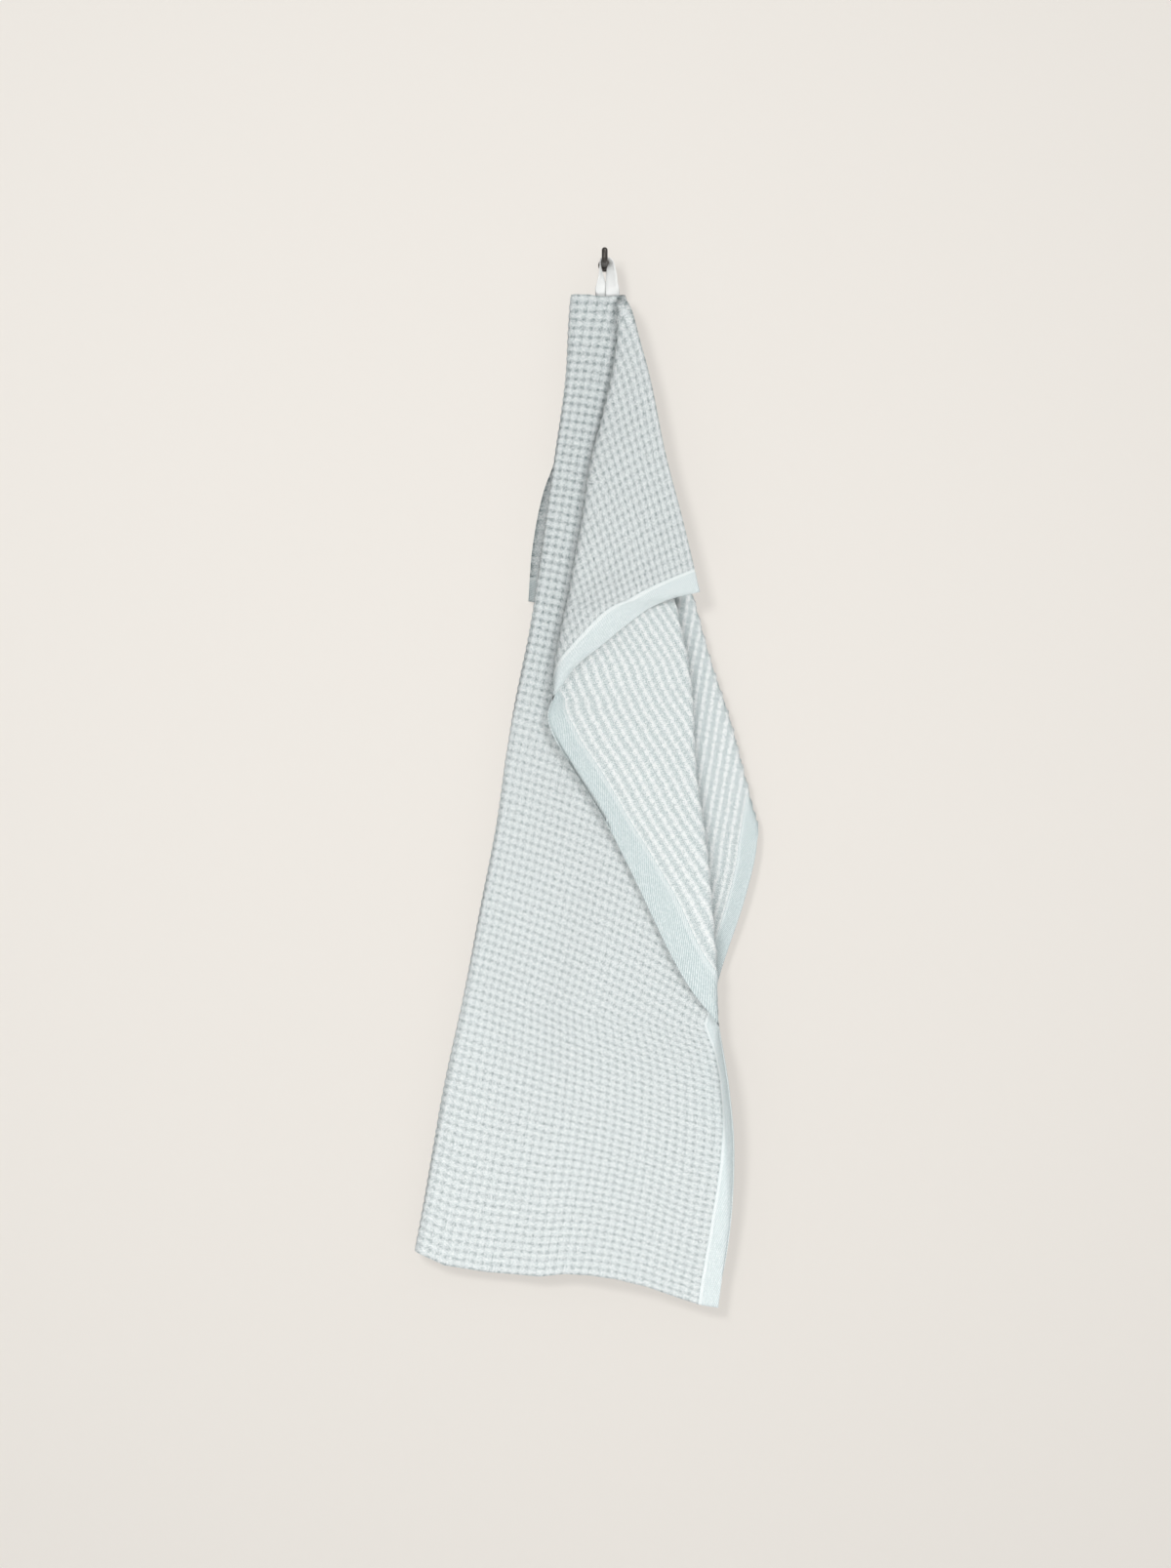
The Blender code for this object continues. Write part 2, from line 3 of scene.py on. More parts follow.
import bpy
import numpy as np
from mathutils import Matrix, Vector


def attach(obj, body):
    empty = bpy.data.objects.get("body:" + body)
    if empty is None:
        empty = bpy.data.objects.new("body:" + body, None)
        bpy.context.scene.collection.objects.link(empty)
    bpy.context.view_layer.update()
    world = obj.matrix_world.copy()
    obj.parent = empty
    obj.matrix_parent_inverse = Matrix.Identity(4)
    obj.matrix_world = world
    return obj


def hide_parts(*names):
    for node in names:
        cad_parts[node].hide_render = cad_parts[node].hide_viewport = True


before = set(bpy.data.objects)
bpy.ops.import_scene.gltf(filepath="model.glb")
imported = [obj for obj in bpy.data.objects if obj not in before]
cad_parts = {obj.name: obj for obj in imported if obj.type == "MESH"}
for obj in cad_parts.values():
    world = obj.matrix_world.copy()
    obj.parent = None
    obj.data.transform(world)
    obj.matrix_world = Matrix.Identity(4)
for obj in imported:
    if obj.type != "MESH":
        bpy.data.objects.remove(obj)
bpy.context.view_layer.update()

# A waffle towel, pleated like a fan, hangs by its tape loop from a small dark hook. The flat cloth is a grid
# of weave cells. Each point of it is laid on the folds, which are those of the part's source, and then raised
# by the weave.
MM = 0.001

# Flat cloth, in millimetres: across runs from the left to the right selvedge, down from the top to the bottom
TOWEL_HALF_WIDTH = 235.0
TOWEL_LENGTH = 700.0
BAND_WIDTH = 15.0
CELLS_ACROSS = 64
CELLS_DOWN = 116
STEPS_ACROSS_CELL = 3
STEPS_DOWN_CELL = 2
CELL_WIDTH = (2 * TOWEL_HALF_WIDTH - 2 * BAND_WIDTH) / CELLS_ACROSS
CELL_LENGTH = TOWEL_LENGTH / CELLS_DOWN
HEM_CELLS = 1.2
RIM_WIDTH = 0.1

# Grid lines on a band, in millimetres from the selvedge. The raised line lies on the last one.
BAND_STEPS = [0.0, 0.8, 4.2, 8.4, 12.4, 13.6]
LINE_FROM_SIDE = BAND_STEPS[-1]

# Half the cloth's thickness in millimetres, and how high the weave stands at points of a cell
HALF_WAFFLE = 0.95
HALF_BAND = 0.55
HALF_EDGE = 0.35
LINE_HEIGHT = 0.28
PUFF_HEIGHT = 0.42
ROW_GROOVE = -0.30
COLUMN_GROOVE = -0.18
CROSSING_PIT = -0.62
RIB_HEIGHT = 0.48
RUNG_HEIGHT = -0.05
LADDER_PIT = -0.48
HEM_RELIEF = 0.55

# The cloth's two faces: colours of the light yarn, of the flecks and of the painted shade in the gaps, how
# much painted shade darkens the rows, the columns and their crossings, how bright the line by the band is,
# and how much lighter the raised ribs are painted than the hollows between them, as painted shade
FRONT_FACE = {
    "light": (0.94, 0.965, 0.965),
    "fleck": (0.52, 0.60, 0.61),
    "dark": (0.22, 0.29, 0.30),
    "row_share": 0.25,
    "column_share": 0.14,
    "dot_share": 0.18,
    "line_share": 0.35,
    "ribs": 0.0,
}
BACK_FACE = {
    "light": (0.90, 0.93, 0.93),
    "fleck": (0.42, 0.51, 0.52),
    "dark": (0.30, 0.37, 0.38),
    "row_share": 0.12,
    "column_share": -0.04,
    "dot_share": -0.06,
    "line_share": 0.2,
    "ribs": 0.6,
}
LINE_COLOUR = (0.93, 0.945, 0.945)
CLOTH_ROUGHNESS = 0.95

# How far the rows and columns wander from a straight line, in millimetres, and how sharp their gaps are
WANDER = 1.5
WANDER_SCALE = 0.16
GAP_POWER = 1.6

# Where the gaps in the upper pleats get painted shade, in millimetres from the left selvedge and from the top
# hem, and how much darker the painted shade makes the gaps there, in the pleats and on the flap
PAINTED_SHADE_ACROSS = (250.0, 290.0)
PAINTED_SHADE_DOWN = (240.0, 310.0)
PAINTED_SHADE_PLEAT = 0.4
PAINTED_SHADE_FLAP = 0.1

# Flecks of the yarn: their grain across and down, and their contrast and start, in the cloth and in its gaps
FLECK_GRAIN = (0.8, 0.6)
FLECK_CONTRAST = 4.6
FLECK_START = -1.9
FLECK_SHARE = 0.7
GAP_FLECKS = 1.1
GAP_BASE = 0.45

# Slanted stripes of single yarns in each cell, in millimetres, and how strong they look
YARN_PITCH = 1.6
YARN_SLANT = 0.9
STRIPE_SHARE = 0.45
YARN_BASE = -0.1
RIB_BASE = 0.3
RIB_DIPS = -0.4

# Twill lines, flecks and long streaks on the plain bands
TWILL_PITCH = 1.5
TWILL_SLANT = -0.55
TWILL_SHARE = 0.5
BAND_FLECKS = 0.3
STREAK_GRAIN = (0.9, 0.12)
STREAK_SHARE = 0.7
BAND_SHADE = 0.04
BAND_LINE_HALF = 1.0

# How much the flecks, the gaps, the yarns and the twill dent the surface, and how deep that is in metres
FLECK_DENT = -0.6
GAP_DENT = 0.4
STRIPE_DENT = 0.45
TWILL_DENT = -0.5
CLOTH_BUMP = 0.8
CLOTH_BUMP_DEPTH = 0.0005

# The tape's herringbone, drawn for this length in millimetres, its colours and how strong they look
TAPE_WEAVE_LENGTH = 79.0
HERRINGBONE_PITCH = 1.1
TAPE_LIGHT = (0.93, 0.94, 0.93)
TAPE_SHADE = (0.78, 0.80, 0.80)
TAPE_FLECK = (0.80, 0.82, 0.82)
TAPE_SHADE_SHARE = 0.35
TAPE_FLECK_SHARE = 0.25
TAPE_FLECK_SCALE = 1.6
TAPE_ROUGHNESS = 0.9
TAPE_BUMP = 0.6
TAPE_BUMP_DEPTH = 0.0003

# The hook's metal: colours of its darker and lighter patches, and the scales of its grain and its patches
METAL_DARK = (0.055, 0.050, 0.047)
METAL_LIGHT = (0.125, 0.115, 0.105)
METAL_GRAIN = 900.0
METAL_PATCHES = 140.0
METAL_ROUGHNESS = 0.42
METAL_SHARE = 0.85
METAL_BUMP = 0.25
METAL_BUMP_DEPTH = 0.00015

# The fan's centre: its height above the hem on the flat cloth, and its place in the air
FAN_ABOVE_HEM = 28.0
FAN_X = 1.0
FAN_Z = 3.8

# Where the folds leave the top hem and where they end on the long edges, in millimetres
TOP_1, TOP_2, TOP_3, TOP_4, TOP_5, TOP_6 = 19.0, 12.6, -26.6, -33.6, -40.0, -46.0
END_1, END_2, END_4, END_5, END_6 = 165.0, 450.0, 335.0, 145.0, 73.0

# Each fold: its flat points (across the cloth, down the cloth), then its route in the air,
# one list for each flat stretch, as (across, down) from the fan's centre
RIGHT, LEFT = TOWEL_HALF_WIDTH, -TOWEL_HALF_WIDTH
FOLDS = {
    "right_hem": {
        "flat": [(TOP_1, 0.0), (RIGHT, 0.0), (RIGHT, END_1)],
        "air": [
            [(8, 30), (13.5, 31.5), (17.5, 37), (24, 59.5), (32, 90), (42.5, 142), (55, 190.5),
             (67, 241)],
            [(67, 241), (47.5, 245.5), (30, 253.5), (13.5, 266), (-4, 280), (-21.5, 294), (-38, 316.5)],
        ],
    },
    "fold_1": {
        "flat": [(TOP_1, 0.0), (RIGHT, END_1), (RIGHT, END_2)],
        "air": [
            [(8, 30), (8.5, 57.5), (5, 85.5), (-2, 113.5), (-9, 145), (-17.5, 196), (-34.5, 289),
             (-38, 316.5)],
            [(-38, 316.5), (-42, 330), (-38.5, 343), (-30, 358.5), (-7.5, 393.5), (13.5, 432), (58, 521.5),
             (81, 551)],
        ],
    },
    "fold_2": {
        "flat": [(TOP_2, 0.0), (RIGHT, END_2), (RIGHT, TOWEL_LENGTH)],
        "air": [
            [(13.5, 28), (21.5, 96), (35.5, 166), (49.5, 245.5), (59.5, 302.5), (65, 378), (79, 500.5),
             (81, 551)],
            [(81, 551), (87, 599), (90.5, 638.5), (89, 684.5), (80.5, 754)],
        ],
    },
    "fold_3": {
        "flat": [(TOP_3, 0.0), (0.0, TOWEL_LENGTH)],
        "air": [
            [(-25, 28), (-28.5, 82), (-37, 148.5), (-45, 208), (-56, 278), (-70.5, 351.5), (-79, 411),
             (-91.5, 481), (-105.5, 551), (-129, 670), (-137, 712)],
        ],
    },
    "fold_4": {
        "flat": [(TOP_4, 0.0), (LEFT, END_4), (LEFT, TOWEL_LENGTH)],
        "air": [
            [(-18.5, 29.5), (3, 96), (34.5, 166), (62.5, 243.5), (77.5, 298), (92.5, 347), (109, 406.5)],
            [(109, 406.5), (108, 426.5), (99.5, 462), (81, 519.5), (70.5, 572), (59, 649), (48.5, 726)],
        ],
    },
    "fold_5": {
        "flat": [(TOP_5, 0.0), (LEFT, END_5), (LEFT, END_4)],
        "air": [
            [(-24.5, 30.5), (-24.5, 82), (-28.5, 148.5), (-33, 215), (-30, 279.5)],
            [(-30, 279.5), (0, 337.5), (48.5, 386.5), (109, 406.5)],
        ],
    },
    "fold_6": {
        "flat": [(TOP_6, 0.0), (LEFT, END_6), (LEFT, END_5)],
        "air": [
            [(-16, 31), (-2, 96), (19, 166), (38, 231.5)],
            [(38, 231.5), (13.5, 271), (-30, 279.5)],
        ],
    },
    "left_hem": {
        "flat": [(TOP_6, 0.0), (LEFT, 0.0), (LEFT, END_6)],
        "air": [
            [(-16, 31), (-24, 82), (-34.5, 138), (-45.5, 169.5), (-53, 208), (-56, 246.5)],
            [(-56, 246.5), (-21.5, 251.5), (13.5, 239.5), (38, 231.5)],
        ],
    },
}

# How much lower the bottom hem hangs, in millimetres, by swing in radians, and where the cloth eases to it
HEM_WAVE = {
    "swing": [-0.20, -0.185, -0.159, -0.116, -0.065, -0.041, -0.015, 0.01, 0.04, 0.068, 0.09, 0.11],
    "lower": [0.0, 3.0, 7.5, 6.0, 1.0, -4.5, -7.5, -8.5, -7.0, -3.0, 0.0, 0.0],
}
HEM_WAVE_STARTS = 560.0
HEM_WAVE_FULL = 740.0

# Points traced along each route, and how far a fold's line runs on past the hems, in millimetres
ROUTE_POINTS = 160
RUNS_ON_ABOVE = (14.0, 7.0)
RUNS_ON_BELOW = (20.0, 45.0)

# How far each layer hangs in front of the wall, by its reach from the fan's centre, in millimetres
DEPTHS = {
    "reach": [25, 100, 200, 300, 420, 530, 700, 765],
    "front_flap": [31.0, 33.5, 35.5, 36.5, 37.0, 37.0, 37.0, 37.0],
    "front_turn": [26.5, 27.5, 28.5, 29.0, 28.5, 28.0, 28.0, 28.0],
    "main_panel": [22.0, 22.0, 22.5, 23.0, 23.0, 22.0, 21.0, 21.0],
    "back_panel": [16.6, 16.4, 16.0, 15.5, 14.0, 11.0, 9.0, 9.0],
    "back_turn": [12.9, 12.4, 12.0, 11.0, 7.0, 6.0, 6.0, 6.0],
    "inner_turn": [9.4, 9.0, 8.6, 8.0, 5.0, 5.0, 5.0, 5.0],
    "rear_flap": [5.9, 5.2, 4.4, 4.0, 4.0, 4.0, 4.0, 4.0],
}
LAYERS = [name for name in DEPTHS if name != "reach"]
FOLD_NAMES = list(FOLDS)
MAIN_PANEL = LAYERS.index("main_panel")
FRONT_EDGE_UNCURLS_OVER = 110.0
BACK_EDGE_UNCURLS_OVER = 12.0

# Sizes that count as nothing, and how far past its folds a layer still takes points
TINY = 1e-6
ROUNDING = 1e-9
SEAM_SLACK = 1e-3

# The main panel's right selvedge below the end of fold 2 stands forward, then lies down, in millimetres
CURL = {
    "reach": [500, 533, 555, 575, 610, 645, 690, 740],
    "forward": [0.0, 0.0, 9.0, 12.5, 12.0, 8.5, 3.0, 0.0],
    "squeeze": [1.0, 1.0, 0.5, 0.35, 0.35, 0.45, 0.7, 1.0],
}

# The forward crown of a layer between its folds, and the reach at which it starts, in millimetres
CROWNS = {"front_flap": 5.0, "front_turn": 2.5}
CROWN_STARTS = 60.0
CROWN_GROWS_OVER = 120.0

# How far the weave's columns near the right selvedge move in from it, by reach, in millimetres, and the width
# over which that fades, which widens between two reaches
EASE_TABLE = [(0.0, 0.0), (195.0, 0.0), (221.0, 1.5), (232.0, 4.3), (245.0, 6.0), (265.0, 4.0),
              (281.0, 0.0), (293.0, -5.0), (301.0, -5.5), (318.0, 0.5), (331.0, 1.5), (346.0, 2.5),
              (378.0, 1.0), (411.0, 2.5), (442.0, 3.5), (481.0, 0.0), (526.0, 0.0), (770.0, 0.0)]
EASE_FADES_OVER = (80.0, 160.0)
EASE_WIDENS = (275.0, 290.0)
EASE_POINTS = 400

# Soft upright ripples that all layers share: how many radians each turns across the fan, phase, depth
RIPPLES = [(17.0, 0.6, 2.6), (31.0, 2.1, 1.1)]
RIPPLE_STARTS = 180.0
RIPPLE_FULL = 640.0

# Soft unevenness of the hanging cloth. A wave is the millimetres across and down for one radian, and a phase.
# Each swell has a depth in millimetres and a wave, and the creases come and go along a second wave.
SWELLS = [(0.5, (17.0, 61.0, 0.0)), (0.4, (-43.0, 23.0, 1.0))]
CREASE_DEPTH = 0.7
CREASE_WAVE = (9.5, -90.0, 2.2)
CREASE_ENDS_WAVE = (60.0, 75.0, 0.0)
UNEVEN_FULL = 60.0

# Hanging loop, in millimetres
BAR_RADIUS = 2.1
TAPE_WIDTH = 10.2
TAPE_THICKNESS = 1.0
LOOP_DEPTH = 22.5
RIGHT_SEAT_DEPTH = 20.0
LEFT_SEAT_DEPTH = 18.55
LOOP_CLEARANCE = 0.5
TAPE_RINGS = 121
TAPE_STEPS = 10
TAPE_EDGE_POWER = 8

# The tape's two legs, up to the bar and down again, as (across, out, up, quarter turns of its width), and the
# turns along the arc over the bar
RIGHT_LEG = [(5.6, RIGHT_SEAT_DEPTH, -32.0, 0.0), (5.6, RIGHT_SEAT_DEPTH, -25.5, 0.0),
             (5.6, 20.2, -22.0, 0.04), (5.5, 20.8, -18.5, 0.2), (5.2, 21.2, -14.5, 0.36),
             (5.0, 21.8, -9.0, 0.46), (4.6, 22.3, -4.0, 0.6)]
LEFT_LEG = [(-3.0, 22.3, -3.5, 1.05), (-2.7, 21.6, -9.0, 1.2), (-2.6, 20.2, -14.5, 1.42),
            (-2.3, 18.9, -18.5, 1.68), (-1.6, 18.5, -22.0, 1.93), (-1.0, LEFT_SEAT_DEPTH, -25.5, 2.0),
            (-1.0, LEFT_SEAT_DEPTH, -32.0, 2.0)]
ARC_STEPS = 6
ARC_TURN_STARTS = 0.8
ARC_TURN_STEP = 0.1

# The stage, in metres, and its colours
WALL_HALF_WIDTH = 1.6
WALL_TOP = 1.2
WALL_BEHIND = 0.001
FLOOR_HEIGHT = -1.25
FLOOR_HALF_WIDTH = 4.0
FLOOR_COLOUR = (0.80, 0.79, 0.77)
WALL_COLOUR = (0.27, 0.262, 0.248)
FLOOR_ROUGHNESS = 0.95

# Soft lights: place and aim in metres, size, power in watts, colour. The world adds an even light.
MIDDLE = (0.0, 0.0, -0.38)
WHITE = (1.0, 1.0, 1.0)
LOW = (0.0, 0.0, -0.62)
WARM_WHITE = (1.0, 0.995, 0.98)
KEY_LIGHT = {"place": (1.3, -2.6, 1.1), "aim": MIDDLE, "size": 0.9, "power": 39.5, "colour": WHITE}
LOW_FILL = {"place": (-0.2, -1.25, -1.05), "aim": LOW, "size": 0.7, "power": 11.5, "colour": WHITE}
WALL_LIGHT = {"place": (-0.9, -3.0, 0.6), "aim": MIDDLE, "size": 0.6, "power": 58.0, "colour": WARM_WHITE}
WORLD_COLOUR = (1.0, 0.995, 0.985)
WORLD_STRENGTH = 0.5

# The wall's own glow: its colour, its middle in metres, and how fast it falls off
WALL_GLOW = (0.575, 0.547, 0.513)
WALL_GLOW_CENTRE = (-0.014, 0.0, -0.25)
WALL_GLOW_FALL = 0.17

# The camera's frame, in metres: its middle, how tall it is, and the lens in millimetres
FRAME_X = -0.0137
FRAME_Y = -0.022
FRAME_Z = -0.3745
FRAME_HEIGHT = 1.1249
SENSOR = 36.0
LENS = 100.0
FAR_CLIP = 30.0


def smooth_route(points, count):
    """Evenly numbered points on one smooth curve through the given points."""
    given = np.array(points, float)
    steps = np.linalg.norm(np.diff(given, axis=0), axis=1) ** 0.5
    knots = np.concatenate([[0.0], np.cumsum(steps)])
    slopes = np.diff(given, axis=0) / steps[:, None]
    tangents = np.vstack([slopes[:1], slopes])
    before, after = steps[:-1, None], steps[1:, None]
    tangents[1:-1] = (slopes[:-1] * after + slopes[1:] * before) / (before + after)
    where = np.linspace(0.0, knots[-1], count)
    part = np.clip(np.searchsorted(knots, where, side="right") - 1, 0, len(knots) - 2)
    size = (knots[part + 1] - knots[part])[:, None]
    t = (where - knots[part])[:, None] / size
    start, end = given[part], given[part + 1]
    return ((2 * t**3 - 3 * t**2 + 1) * start + (t**3 - 2 * t**2 + t) * size * tangents[part]
            + (3 * t**2 - 2 * t**3) * end + (t**3 - t**2) * size * tangents[part + 1])


def unit(vector):
    """The same direction at a length of one."""
    return vector / np.hypot(*vector)


def trace_fold(fold):
    """Reach and angle of a fold on the flat cloth, and its reach and swing in the air."""
    flat_parts, air_parts = [], []
    for index, route in enumerate(fold["air"]):
        air = smooth_route(route, ROUTE_POINTS)
        run = np.concatenate([[0.0], np.cumsum(np.hypot(*np.diff(air, axis=0).T))])
        share = (run / run[-1])[:, None]
        flat = np.array(fold["flat"][index]) * (1 - share) + np.array(fold["flat"][index + 1]) * share
        first = 1 if index else 0
        flat_parts.append(flat[first:])
        air_parts.append(air[first:])
    flat, air = np.vstack(flat_parts), np.vstack(air_parts)
    if fold["flat"][1][1] > 0:
        above = -np.array(RUNS_ON_ABOVE)[:, None]
        flat = np.vstack([flat[0] + above * unit(flat[3] - flat[0]), flat])
        air = np.vstack([air[0] + above * unit(air[3] - air[0]), air])
    end = math.hypot(flat[-1, 0], flat[-1, 1] + FAN_ABOVE_HEM)
    if abs(flat[-1, 0]) < TOWEL_HALF_WIDTH:
        below = np.array(RUNS_ON_BELOW)[:, None]
        flat = np.vstack([flat, flat[-1] + below * unit(flat[-1] - flat[-4])])
        air = np.vstack([air, air[-1] + below * unit(air[-1] - air[-4])])
    reach = np.hypot(flat[:, 0], flat[:, 1] + FAN_ABOVE_HEM)
    order = np.argsort(reach, kind="stable")
    return {
        "reach": reach[order],
        "angle": np.arctan2(flat[:, 1] + FAN_ABOVE_HEM, flat[:, 0])[order],
        "hang": np.hypot(air[:, 0], air[:, 1])[order],
        "swing": np.arctan2(air[:, 0], air[:, 1])[order],
        "end": end,
    }


LINES = [trace_fold(fold) for fold in FOLDS.values()]


def on_line(index, key, reach):
    """One of a fold line's values at this reach."""
    return np.interp(reach, LINES[index]["reach"], LINES[index][key])


def layer_depth(layer, reach):
    """How far the layer hangs in front of the wall, in millimetres."""
    return np.interp(reach, DEPTHS["reach"], DEPTHS[LAYERS[layer]])


def ease(value):
    """A smooth rise from 0 to 1 between 0 and 1."""
    value = np.clip(value, 0.0, 1.0)
    return value * value * (3 - 2 * value)


def edge_depth(line, layer, reach):
    """How far the fold lies in front of the layer. Past the fold's end the free edge uncurls."""
    other = layer - 1 if line == layer else layer + 1
    if other < 0 or other >= len(LAYERS):
        return np.zeros_like(reach)
    half = (layer_depth(other, reach) - layer_depth(layer, reach)) / 2
    if other < layer <= MAIN_PANEL:
        half = half * (1 - ease((reach - LINES[other]["end"]) / FRONT_EDGE_UNCURLS_OVER))
    if layer == MAIN_PANEL and line == layer:
        half = half + np.interp(reach, CURL["reach"], CURL["forward"])
    if other > layer > MAIN_PANEL:
        half = half * (1 - ease((reach - LINES[other + 1]["end"]) / BACK_EDGE_UNCURLS_OVER))
    return half


def part_angle(width, radius):
    """Angle that a round turn reaches within this width, a quarter turn at most."""
    return np.arccos(1 - np.minimum(width / np.maximum(radius, TINY), 1.0))


def layer_widths(layer, reach):
    """Sizes of a layer's section: width in the air, depth and width of its two turns, lengths along them."""
    hang_a, hang_b = on_line(layer, "hang", reach), on_line(layer + 1, "hang", reach)
    swing = on_line(layer + 1, "swing", reach) - on_line(layer, "swing", reach)
    width = np.hypot(hang_b - hang_a, (hang_a + hang_b) / 2 * swing) + TINY
    depth_a, depth_b = edge_depth(layer, layer, reach), edge_depth(layer + 1, layer, reach)
    size_a, size_b = np.abs(depth_a), np.abs(depth_b)
    squeeze = np.minimum(1.0, width / (size_a + size_b + TINY))
    turn_a, turn_b = size_a * squeeze, size_b * squeeze
    if layer == MAIN_PANEL:
        turn_a = turn_a * np.interp(reach, CURL["reach"], CURL["squeeze"])
    length_a, length_b = math.pi / 4 * (turn_a + size_a), math.pi / 4 * (turn_b + size_b)
    length_a = np.where(size_b < TINY, size_a * part_angle(width, size_a), length_a)
    length_b = np.where(size_a < TINY, size_b * part_angle(width, size_b), length_b)
    return width, depth_a, depth_b, turn_a, turn_b, length_a, length_b


def turn_angle(depth, across, length):
    """Most angle of a turn, and its size across: a narrow free tip stops partway round the turn."""
    size = np.abs(depth)
    full = length >= math.pi / 2 * size - ROUNDING
    flattened = length >= math.pi / 4 * (across + size) - ROUNDING
    stops_early = (across < size - ROUNDING) & ~full & ~flattened
    most = np.where(stops_early, length / np.maximum(size, TINY), math.pi / 2)
    return most, np.where(stops_early, size, across)


def ripple(swing, hang):
    """How far the shared ripples stand forward, in millimetres."""
    growth = ease((hang - RIPPLE_STARTS) / (RIPPLE_FULL - RIPPLE_STARTS))
    wave = sum(depth * np.sin(turns * swing + phase) for turns, phase, depth in RIPPLES)
    return growth * wave


def place_on_layer(layer, reach, share):
    """Point in the air (x, y, z in millimetres) at a share of the layer's section at this reach."""
    width, depth_a, depth_b, turn_a, turn_b, length_a, length_b = layer_widths(layer, reach)
    most_a, round_a = turn_angle(depth_a, turn_a, length_a)
    most_b, round_b = turn_angle(depth_b, turn_b, length_b)
    run = width - turn_a - turn_b
    total = length_a + run + length_b
    along = share * total
    angle_a = np.clip(along / np.maximum(length_a, TINY), 0, 1) * most_a
    angle_b = np.clip((total - along) / np.maximum(length_b, TINY), 0, 1) * most_b
    across = round_a * (1 - np.cos(angle_a)) + np.clip(along - length_a, 0, run)
    across = across + turn_b - round_b * (1 - np.cos(angle_b))
    fraction = across / width
    out = layer_depth(layer, reach) + depth_a * (1 - np.sin(angle_a)) + depth_b * (1 - np.sin(angle_b))
    crown = CROWNS.get(LAYERS[layer], 0.0) * ease((reach - CROWN_STARTS) / CROWN_GROWS_OVER)
    out = out + crown * np.sin(math.pi * share)
    hang_a, hang_b = on_line(layer, "hang", reach), on_line(layer + 1, "hang", reach)
    swing_a, swing_b = on_line(layer, "swing", reach), on_line(layer + 1, "swing", reach)
    hang = hang_a + (hang_b - hang_a) * fraction
    swing = swing_a + (swing_b - swing_a) * fraction
    out = out + ripple(swing, hang)
    wave = np.interp(swing, HEM_WAVE["swing"], HEM_WAVE["lower"])
    hang = hang + wave * ease((hang - HEM_WAVE_STARTS) / (HEM_WAVE_FULL - HEM_WAVE_STARTS))
    return FAN_X + hang * np.sin(swing), -out, FAN_Z - hang * np.cos(swing)


def ease_weave(across, down):
    """Keeps the band at its full width, and the ribs straight, where a fold draws the cloth together."""
    from_side = TOWEL_HALF_WIDTH - across
    reach = np.hypot(across, down + FAN_ABOVE_HEM)
    curve = smooth_route(EASE_TABLE, EASE_POINTS)
    inward = np.interp(reach, curve[:, 0], curve[:, 1])
    fades_over = np.interp(reach, EASE_WIDENS, EASE_FADES_OVER)
    near = np.minimum(from_side / BAND_WIDTH, 1.0) * (1 - ease((from_side - BAND_WIDTH) / fades_over))
    return across - inward * near, down


def place(across, down):
    """Middle of the cloth in the air, in millimetres, for points of the flat cloth."""
    across, down = ease_weave(across, down)
    reach = np.hypot(across, down + FAN_ABOVE_HEM)
    angle = np.arctan2(down + FAN_ABOVE_HEM, across)
    where = np.full(across.shape + (3,), np.nan)
    layers = sorted(range(len(LAYERS)), key=lambda layer: abs(layer - MAIN_PANEL))
    for layer in layers:
        ends = [LINES[line]["end"] for line in (layer, layer + 1) if FOLD_NAMES[line] != "fold_3"]
        first, last = on_line(layer, "angle", reach), on_line(layer + 1, "angle", reach)
        share = (angle - first) / np.maximum(last - first, ROUNDING)
        inside = (angle > first - SEAM_SLACK) & (angle < last + SEAM_SLACK) & (reach < min(ends) + SEAM_SLACK)
        here = inside & np.isnan(where[..., 0])
        points = place_on_layer(layer, reach[here], np.clip(share[here], 0.0, 1.0))
        where[here] = np.stack(points, axis=-1)
    return where


def flat_lines():
    """Grid lines of the flat cloth, across and down, in millimetres."""
    band = [TOWEL_HALF_WIDTH - step for step in BAND_STEPS]
    waffle_half = TOWEL_HALF_WIDTH - BAND_WIDTH
    waffle = np.linspace(-waffle_half, waffle_half, CELLS_ACROSS * STEPS_ACROSS_CELL + 1)
    across = np.array([-step for step in band] + list(waffle) + band[::-1])
    down = np.linspace(0.0, TOWEL_LENGTH, CELLS_DOWN * STEPS_DOWN_CELL + 1)
    return across, down


def weave_relief(across, down):
    """Height of the front and the back face from the middle of the cloth, in millimetres."""
    column = np.round((across + TOWEL_HALF_WIDTH - BAND_WIDTH) / CELL_WIDTH * STEPS_ACROSS_CELL).astype(int)
    row = np.round(down / CELL_LENGTH * STEPS_DOWN_CELL).astype(int)
    on_column, on_row = column % STEPS_ACROSS_CELL == 0, row % STEPS_DOWN_CELL == 0
    crossing = on_column & on_row
    front = np.select([crossing, on_row, on_column], [CROSSING_PIT, ROW_GROOVE, COLUMN_GROOVE], PUFF_HEIGHT)
    back = np.select([on_column, on_row], [RIB_HEIGHT, RUNG_HEIGHT], LADDER_PIT)
    from_side = TOWEL_HALF_WIDTH - np.abs(across)
    from_hem = np.minimum(down, TOWEL_LENGTH - down)
    share = np.where(from_hem < HEM_CELLS * CELL_LENGTH, HEM_RELIEF, 1.0)
    line = np.where(np.isclose(from_side, LINE_FROM_SIDE), LINE_HEIGHT, 0.0)
    plain = from_side < BAND_WIDTH - TINY
    front = np.where(plain, HALF_BAND + line, HALF_WAFFLE + front * share)
    back = np.where(plain, HALF_BAND + line, HALF_WAFFLE + back * share)
    rim = (from_side < RIM_WIDTH) | (from_hem < RIM_WIDTH)
    return np.where(rim, HALF_EDGE, front), np.where(rim, HALF_EDGE, back)


def cloth_wave(across, down, wave):
    """A slanted wave over the flat cloth, between -1 and 1."""
    per_across, per_down, phase = wave
    return np.sin(across / per_across + down / per_down + phase)


